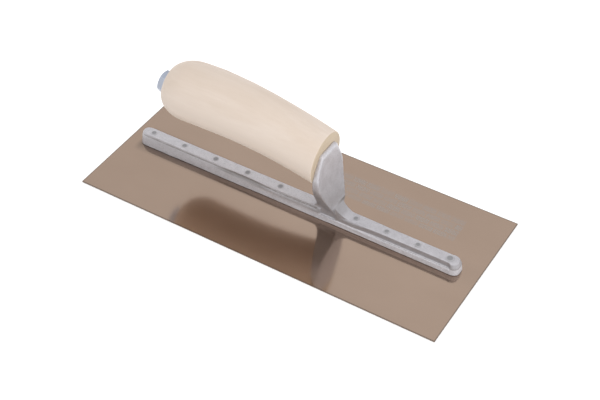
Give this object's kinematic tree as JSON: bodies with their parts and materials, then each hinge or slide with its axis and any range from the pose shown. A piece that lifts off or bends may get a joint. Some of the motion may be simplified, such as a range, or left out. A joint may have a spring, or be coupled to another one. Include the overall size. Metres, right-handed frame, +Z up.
{
  "type": "finishing trowel",
  "caption": "Steel finishing trowel: flat rectangular golden steel blade riveted to a cast aluminium bar and post, with a curved wooden handle held by a hex bolt.",
  "frame": {"origin": "centre of the blade's flat underside", "axes": "+X along the blade towards the toe, the end that the post's dished face looks at; +Y across the blade; +Z up from the blade to the handle"},
  "size_m": [0.2794, 0.1206, 0.0864],
  "materials": {
    "golden_steel": "golden heat-treated stainless steel, finely ground along its length, satin mirror",
    "cast_aluminium": "sand-cast and tumbled, matt silver grey",
    "rivet_steel": "plain steel, hammered and ground flush",
    "pale_wood": "sanded pale hardwood with a thin clear sealer",
    "zinc_plated_steel": "bright bluish zinc plating, slightly matt"
  },
  "bodies": {
    "root": {"blade": "golden_steel", "mounting": "cast_aluminium", "rivet_rear_1": "rivet_steel", "rivet_rear_2": "rivet_steel", "rivet_rear_3": "rivet_steel", "rivet_rear_4": "rivet_steel", "rivet_rear_5": "rivet_steel", "rivet_front_1": "rivet_steel", "rivet_front_2": "rivet_steel", "rivet_front_3": "rivet_steel", "rivet_front_4": "rivet_steel", "handle": "pale_wood", "handle_bolt": "zinc_plated_steel"}
  },
  "joints": []
}
